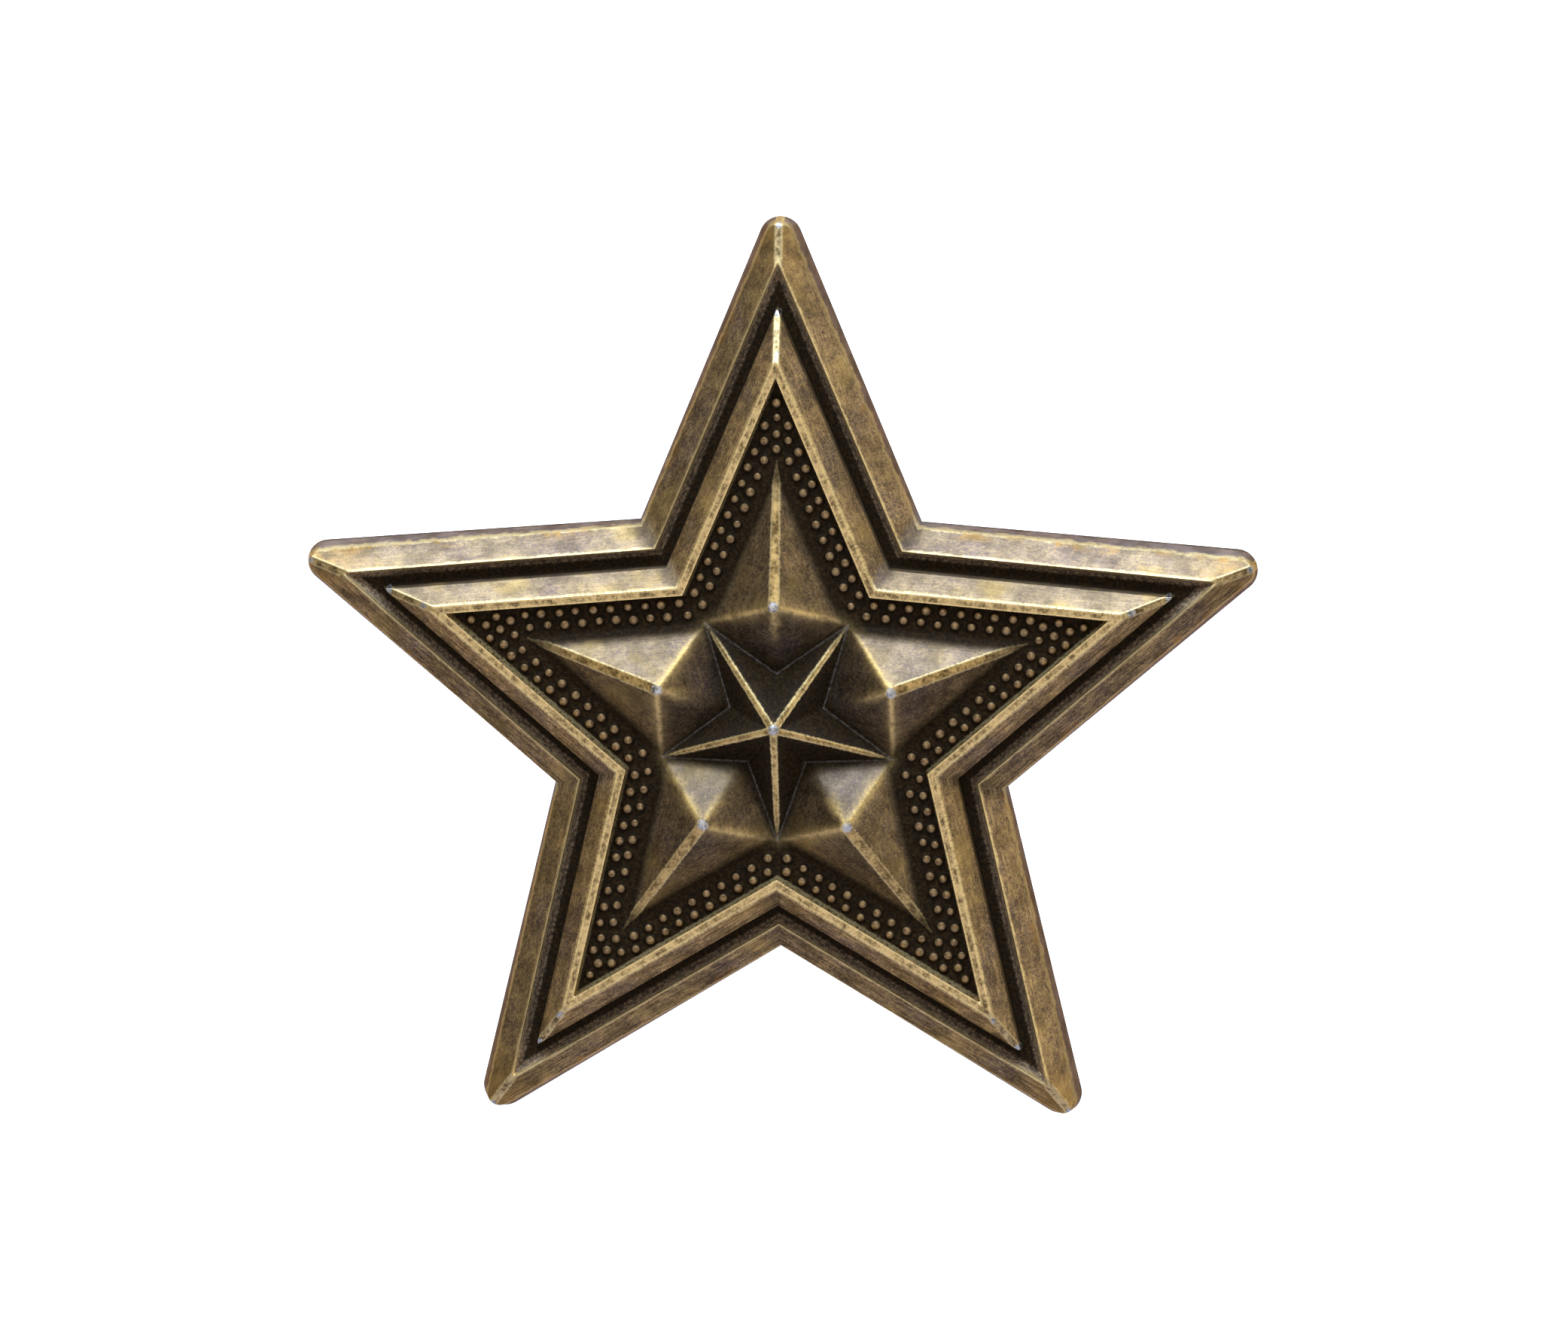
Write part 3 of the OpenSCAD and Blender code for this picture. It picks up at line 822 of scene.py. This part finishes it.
# Each pair is the dark and the light colour of a speckled finish
SOOT = (0.013, 0.009, 0.005), (0.046, 0.026, 0.010)
GROOVE_WALL = (0.13, 0.092, 0.066), (0.52, 0.36, 0.21)
GOLD = (0.16, 0.105, 0.046), (0.84, 0.60, 0.27)
DOT_TOP = (0.15, 0.092, 0.048), (0.47, 0.31, 0.145)
WORN_SPOT_AND_HIGHLIGHT = (0.20, 0.20, 0.20), (0.76, 0.73, 0.68)

CLOUD_BROWN, CLOUD_GOLD, SCRATCH = (0.145, 0.102, 0.083), (0.44, 0.290, 0.105), (0.80, 0.53, 0.20)
TIP_GOLD, RIM_STAIN, SIDE_WALL = (0.50, 0.30, 0.09), (0.42, 0.22, 0.05), (0.23, 0.180, 0.160)
# Gold of the bright lines along the edges: their wear, and a painted highlight on them
EDGE_WEAR_AND_HIGHLIGHT_GOLD, OUTLINE = (0.95, 0.70, 0.31), (0.20, 0.185, 0.17)
# What multiplies the gold of the kites, and the film where its tone is nothing and where it is lightest
KITE_GOLD, TONE_NONE, TONE_TOP = (1.08, 1.00, 0.82), (0.10, 0.12, 0.21), (1.40, 1.38, 1.34)

# Fineness of each noise, in cells to a metre
CLOUD, PATCH, MOTTLE, SPECK, GRAIN = 480.0, 1000.0, 1900.0, 6500.0, 13000.0
# Direction and fineness of each set of scratches
SCRATCHES = ((0.4, 13000.0), (1.3, 10000.0), (2.2, 14000.0), (2.9, 9000.0))
# Lengths of the brushed streaks and of the land's beads: along the edge, across it and in height
STREAK_RUN, BEAD_RUN = (1.8, 0.08, 0.33), (0.10, 0.8, 0.8)


def shared_textures(n):
    """Noises and directions that several parts of the finish read."""
    place, brush = n.coordinate("Object"), n.attribute("brush_run", "Vector")
    mottle, speck = n.noise(place, MOTTLE, 4.0, 0.6), n.noise(place, SPECK, 4.0, 0.75)
    return SimpleNamespace(
        place=place,
        brush=brush,
        mottle=mottle,
        speck=speck,
        cloud=n.noise(place, CLOUD, 3.0, 0.5),
        streak=n.noise(n.stretched(brush, STREAK_RUN), 1.4, 4.0, 0.6),
        # Unevenness of the edges of everything worn or dark, in millimetres
        ragged=n.product(n.math("SUBTRACT", mottle, 0.5), 0.22),
        fine_ragged=n.product(n.math("SUBTRACT", speck, 0.5), 0.12),
        # Height part of the surface's own direction: 1 faces straight up, -1 straight down
        up=n.parts(n.coordinate("Normal"))["Z"],
    )


def film_colour(n, t):
    """Film on the bevels and facets, scratched down to the metal, with painted light and shade that changes it
    by which way the surface faces.
    """
    # Painted light and shade: surfaces that face up get their own film colours and fainter scratches
    painted_light_facing_up = n.step(t.up, 0.3, 0.5)
    film = n.math("ADD", n.product(t.mottle, 0.40), n.product(t.speck, 0.35))
    film = n.math("ADD", film, n.product(n.noise(t.place, GRAIN, 2.0, 0.6), 0.25))
    body = n.mix(n.step(film, 0.34, 0.66), n.mix(painted_light_facing_up, *FILM_DARK), n.mix(painted_light_facing_up, *FILM_LIGHT))
    body = n.mix(n.step(t.cloud, 0.48, 0.66, 0.0, 0.74), body, CLOUD_BROWN)
    body = n.mix(n.step(t.cloud, 0.46, 0.30, 0.0, 0.72), body, CLOUD_GOLD)
    marks = n.largest(*(n.scratches(t.place, turn, fineness) for turn, fineness in SCRATCHES))
    body = n.mix(n.product(marks, n.blend(painted_light_facing_up, 0.38, 0.2)), body, SCRATCH)

    # Golden tips, stains near the rim, and the side wall
    tip = n.step(n.parts(t.brush)[0], 15.5, 19.5, 0.0, 0.8)
    body = n.mix(n.product(tip, n.step(t.mottle, 0.35, 0.6, 0.4, 1.0)), body, TIP_GOLD)
    rim_line = n.attribute("rim_line")
    stain = n.product(n.step(rim_line, 0.40, 0.05), n.step(t.cloud, 0.53, 0.64, 0.0, 0.7))
    body = n.mix(n.product(stain, n.step(t.mottle, 0.4, 0.6)), body, RIM_STAIN)
    body = n.mix(n.step(rim_line, 0.0, -0.03, 0.0, 0.8), body, SIDE_WALL)

    # Streaks and patches; the streaks are painted with more contrast on bevels that face down, as painted light
    # and shade
    tone = n.attribute("tone")
    under = n.product(n.step(t.up, 0.02, -0.12), n.step(tone, 0.55, 0.75))
    streaked = n.step(t.streak, 0.38, 0.62, n.blend(under, 0.90, 0.62), n.blend(under, 1.10, 1.38))
    patchy = n.step(n.noise(t.place, PATCH, 4.0, 0.65), 0.36, 0.64, 0.76, 1.24)
    body = n.times(body, n.shade(n.product(streaked, patchy)))

    # Painted light: the facets of the kites that face up are made lighter than their other facets
    kite_facet_painted_light = n.product(n.step(tone, KITE_INNER_TONE, KITE_OUTER_TONE), n.step(tone, RIM_TONE, 0.60))
    tone = n.math("ADD", tone, n.product(painted_light_facing_up, kite_facet_painted_light, 0.15))
    return n.times(body, n.mix(n.math("DIVIDE", tone, TOP_TONE), TONE_NONE, TONE_TOP))


def hollow_patina(n, t, colour):
    """Black patina in the hollows, and a dull speckled one on the groove's wall, just inside the crest."""
    dark = n.step(n.math("ADD", n.attribute("dark"), t.ragged), 0.05, 0.9)
    dark = n.largest(dark, n.product(n.attribute("fold"), 0.45))
    colour = n.mix(dark, colour, n.mix(n.step(t.speck, 0.40, 0.7), *SOOT))
    inside_crest = n.math("ADD", n.attribute("crest_line"), t.fine_ragged)
    wall = n.product(n.step(inside_crest, -0.40, -0.12), n.step(inside_crest, 0.04, -0.04))
    colour = n.mix(wall, colour, n.mix(n.step(t.speck, 0.40, 0.62), *GROOVE_WALL))
    return colour, dark, wall


def worn_brass(n, t, colour):
    """Ridges, flats, land and edges, worn back to bright brass, with painted highlights on the ridges and edges
    and painted shade on the inner star's ridges that face up.
    """
    flecks = n.blend(0.5, t.mottle, t.speck)
    # Painted highlight and wear on the kites' rounded ridges, in a darker colour where they face up
    ridge_wear_and_highlight = n.product(n.attribute("ridge_wear_and_highlight"), n.step(flecks, 0.35, 0.62, 0.35, 1.2))
    colour = n.mix(ridge_wear_and_highlight, colour, n.mix(n.step(t.up, 0.1, 0.4), *RIDGE_WEAR_AND_HIGHLIGHT))

    tone = n.attribute("tone")
    # Painted shade and highlight: the inner star's ridges are darker the more they face up, and lighter where
    # they face level or down
    dull = n.blend(n.step(t.up, 0.15, 0.6), 1.20, 0.32)
    dull = n.shade(n.blend(n.step(tone, 0.2, 0.4), dull, 1.0))
    gold = n.times(n.mix(n.step(flecks, 0.38, 0.60), *GOLD), dull)
    gold = n.times(gold, n.mix(n.step(tone, 0.7, 0.55), (1.0, 1.0, 1.0), KITE_GOLD))
    kept = n.math("SUBTRACT", 1.0, n.product(n.attribute("faded"), 0.9))
    flat = n.product(n.step(n.math("ADD", n.attribute("flat"), t.fine_ragged), -0.03, 0.02), kept)
    land = n.step(n.math("ADD", n.attribute("land"), t.fine_ragged), -0.03, 0.02)
    worn = n.largest(flat, land)
    colour = n.mix(worn, colour, gold)

    def near(mark, roughness, full, none, strength=1.0):
        """How close a point is to a line where the mark is zero, with a ragged edge."""
        gap = n.math("ABSOLUTE", n.math("ADD", n.attribute(mark), roughness))
        return n.step(gap, none, full, 0.0, strength)

    beads = n.step(n.noise(n.stretched(t.brush, BEAD_RUN), 1.0, 2.0, 0.5), 0.38, 0.52, 0.5, 1.0)
    # Bright lines along the crest, the rim, the land and the flats: wear, with a painted highlight on their
    # rounded edges
    line = n.largest(
        near("crest_line", t.ragged, 0.02, 0.13, 0.8),
        near("rim_line", t.ragged, 0.02, 0.08, 0.5),
        n.product(near("land", t.fine_ragged, 0.03, 0.11), beads),
        n.product(near("flat", t.fine_ragged, 0.015, 0.06), kept, 0.6),
    )
    line = n.product(line, n.step(t.speck, 0.32, 0.55, 0.4, 1.0))
    return n.mix(line, colour, n.times(dull, EDGE_WEAR_AND_HIGHLIGHT_GOLD)), n.largest(worn, line)


def small_marks(n, t, colour):
    """Tops of the dots, grey spots on the apexes, and the thin outline of the inner star."""
    dot_top = n.step(n.math("ADD", n.attribute("dot"), t.fine_ragged), 0.19, 0.11)
    colour = n.mix(dot_top, colour, n.mix(n.step(t.speck, 0.35, 0.62), *DOT_TOP))
    spot = n.step(n.math("ADD", n.attribute("spot"), n.product(t.ragged, 1.6)), 0.27, 0.16)
    colour = n.mix(spot, colour, n.mix(n.step(t.speck, 0.38, 0.55), *WORN_SPOT_AND_HIGHLIGHT))
    outline = n.step(n.attribute("outline"), 0.05, 0.015)
    outline = n.product(outline, n.step(t.speck, 0.35, 0.70, 0.12, 0.7))
    return n.mix(outline, colour, OUTLINE), n.largest(spot, dot_top)


def antique_brass():
    """Cast brass under dark patina, brushed back so that the edges shine and the hollows stay black."""
    n = Nodes(bpy.data.materials.new("antique_brass_patina"))
    t = shared_textures(n)
    colour, dark, wall = hollow_patina(n, t, film_colour(n, t))
    colour, worn = worn_brass(n, t, colour)
    colour, tops = small_marks(n, t, colour)
    bright = n.largest(worn, tops)
    covered = n.largest(dark, n.product(wall, 0.85))
    satin = n.step(t.streak, 0.2, 0.8, 0.36, 0.50)
    relief = n.math("ADD", n.product(t.streak, 0.5), n.product(t.speck, 0.5))
    return n.finish(
        "Principled BSDF",
        Base_Color=colour,
        Metallic=n.largest(n.math("SUBTRACT", 1.0, covered), bright),
        Roughness=n.blend(bright, n.blend(dark, satin, 0.42), 0.32),
        Normal=n.bump(relief, 0.4, 0.00003),
        Specular_IOR_Level=0.08,
        Specular_Tint=(0.55, 0.42, 0.32),
    )


# ------------------------------------------------------------------------------------------------
# Brasses of the fittings
# ------------------------------------------------------------------------------------------------
def brushed_brass(name, base, worn, roughness, lengths):
    """Plain brass with fine drawing lines and slight tarnish."""
    n = Nodes(bpy.data.materials.new(name))
    place = n.coordinate("Object")
    mottle = n.noise(place, 1400.0, 4.0, 0.6)
    lines = n.noise(n.stretched(place, lengths), 900.0, 3.0, 0.6)
    film = n.step(n.math("ADD", n.product(mottle, 0.6), n.product(lines, 0.4)), 0.35, 0.65)
    return n.finish(
        "Principled BSDF",
        Base_Color=n.mix(film, worn, base),
        Metallic=1.0,
        Roughness=n.blend(mottle, roughness - 0.06, roughness + 0.08),
        Normal=n.bump(lines, 0.25, 0.00002),
    )


def soften_edges(obj, width):
    """Small rounded edges of that width."""
    obj.data.shade_smooth()
    bevel = obj.modifiers.new("soft_edges", "BEVEL")
    bevel.width, bevel.segments = width * MM, 2
    bevel.limit_method, bevel.angle_limit = "ANGLE", math.radians(32)
    bevel.harden_normals = True


# ------------------------------------------------------------------------------------------------
# Stage, lights and camera
# ------------------------------------------------------------------------------------------------
CAMERA_AZIMUTH, CAMERA_ELEVATION, CAMERA_ROLL = 4.35, 10.03, 0.10
CAMERA_DISTANCE = 442.0
CAMERA_TARGET = Vector((0.122, -0.35, 2.041))
SENSOR_WIDTH, LENS = 36.0, 241.05


def make_camera():
    data = bpy.data.cameras.new("camera")
    data.sensor_width, data.lens = SENSOR_WIDTH, LENS
    data.clip_start, data.clip_end = 0.01, 20.0
    camera = bpy.data.objects.new("camera", data)
    bpy.context.scene.collection.objects.link(camera)
    azimuth, elevation = math.radians(CAMERA_AZIMUTH), math.radians(CAMERA_ELEVATION)
    back = Vector((
        math.sin(azimuth) * math.cos(elevation), -math.cos(azimuth) * math.cos(elevation), math.sin(elevation),
    ))
    turn = (-back).to_track_quat("-Z", "Y").to_matrix().to_4x4()
    roll = Matrix.Rotation(math.radians(-CAMERA_ROLL), 4, "Z")
    camera.matrix_world = Matrix.Translation((CAMERA_TARGET + back * CAMERA_DISTANCE) * MM) @ turn @ roll
    bpy.context.scene.camera = camera


# Brightness of the tent all round, and what each side of it adds: from and to which part of its direction the
# step runs, and how much it adds at most
TENT = 0.35
OVERHEAD, BELOW = (0.40, 0.85, 1.65), (0.20, 0.80, 0.16)
AHEAD, BEHIND = (0.78, 0.97, 0.50), (0.35, 0.95, 0.75)
TENT_TINT, BELOW_TINT, OVERHEAD_TINT = (1.0, 0.985, 0.97), (0.96, 1.0, 1.30), (0.80, 0.98, 1.30)


def tent():
    """White studio tent: even all round, much brighter overhead, a little brighter below, ahead and behind."""
    n = Nodes(bpy.data.worlds.new("studio"))
    way = n.parts(n.coordinate("Generated"))
    up, behind = way["Z"], way["Y"]
    down, ahead = n.product(up, -1.0), n.product(behind, -1.0)
    strength = TENT
    for side, (low, high, most) in ((up, OVERHEAD), (down, BELOW), (ahead, AHEAD), (behind, BEHIND)):
        strength = n.math("ADD", n.step(side, low, high, 0.0, most), strength)
    low_tint = n.mix(n.step(down, 0.1, 0.5), TENT_TINT, BELOW_TINT)
    tint = n.mix(n.step(up, 0.3, 0.7), low_tint, OVERHEAD_TINT)
    return n.finish("Background", Color=tint, Strength=strength)


def area_light(name, place, size, power, colour):
    """Rectangular light that faces the badge."""
    data = bpy.data.lights.new(name, "AREA")
    data.shape, data.size, data.size_y = "RECTANGLE", size[0], size[1]
    data.energy, data.color = power, colour
    light = bpy.data.objects.new(name, data)
    bpy.context.scene.collection.objects.link(light)
    light.location = place
    light.rotation_euler = (-Vector(place)).to_track_quat("-Z", "Y").to_euler()


def make_lights():
    area_light("top_softbox", (0.0, -0.50, 0.86), (0.7, 0.36), 4.5, (0.80, 0.98, 1.26))
    area_light("right_card", (0.94, -0.32, 0.12), (0.5, 0.5), 0.9, (1.0, 0.98, 0.95))
    bpy.context.scene.world = tent()
    bpy.context.scene.view_settings.view_transform = "Standard"


def make_stage():
    """Pale floor that turns up into a backdrop all round, well below the badge. Its sizes are in metres."""
    floor_z, reach, bend_r, bend, height, steps = -0.06, 1.6, 0.6, 12, 3.0, 32
    profile = [(reach, floor_z)]
    profile += [
        (reach + bend_r * math.sin(a), floor_z + bend_r * (1 - math.cos(a)))
        for a in np.linspace(0.1, math.pi / 2, bend)
    ]
    profile.append((reach + bend_r, height))
    turns = [2 * math.pi * k / steps for k in range(steps)]
    points = [(0, 0, floor_z), *((r * math.cos(a), r * math.sin(a), z) for r, z in profile for a in turns)]
    faces = [(0, 1 + k, 1 + (k + 1) % steps) for k in range(steps)]
    faces += [tuple(reversed(face)) for face in ring_quads(len(profile), steps, 1)]
    floor = make_mesh("pale_floor", np.array(points) / MM, faces)
    floor.data.materials.append(Nodes(bpy.data.materials.new("pale_paper")).finish(
        "Principled BSDF",
        Base_Color=(0.9, 0.9, 0.9), Roughness=0.9, Emission_Color=(1, 1, 1), Emission_Strength=0.9,
    ))
    floor.visible_glossy = False
    floor.visible_diffuse = False


# ------------------------------------------------------------------------------------------------
# The badge
# ------------------------------------------------------------------------------------------------
make_camera()
make_lights()
make_stage()

star = make_star()
star.data.materials.append(antique_brass())
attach(star, "badge")
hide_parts("star_casting")

# Base colour, tarnish, roughness, and length of the drawing lines along each axis
fittings = {
    "post": brushed_brass("drawn_brass", (0.70, 0.53, 0.27), (0.56, 0.42, 0.22), 0.28, (1, 10, 1)),
    "cup": brushed_brass("stamped_brass", (0.84, 0.63, 0.28), (0.70, 0.51, 0.22), 0.24, (1, 1, 3)),
    "seat": brushed_brass("spring_brass", (0.82, 0.61, 0.27), (0.66, 0.48, 0.21), 0.26, (5, 1, 1)),
}
for name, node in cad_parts.items():
    for key, material in fittings.items():
        if key in name or (key == "seat" and "wing" in name):
            node.data.materials.clear()
            node.data.materials.append(material)
            soften_edges(node, FITTING_EDGE)
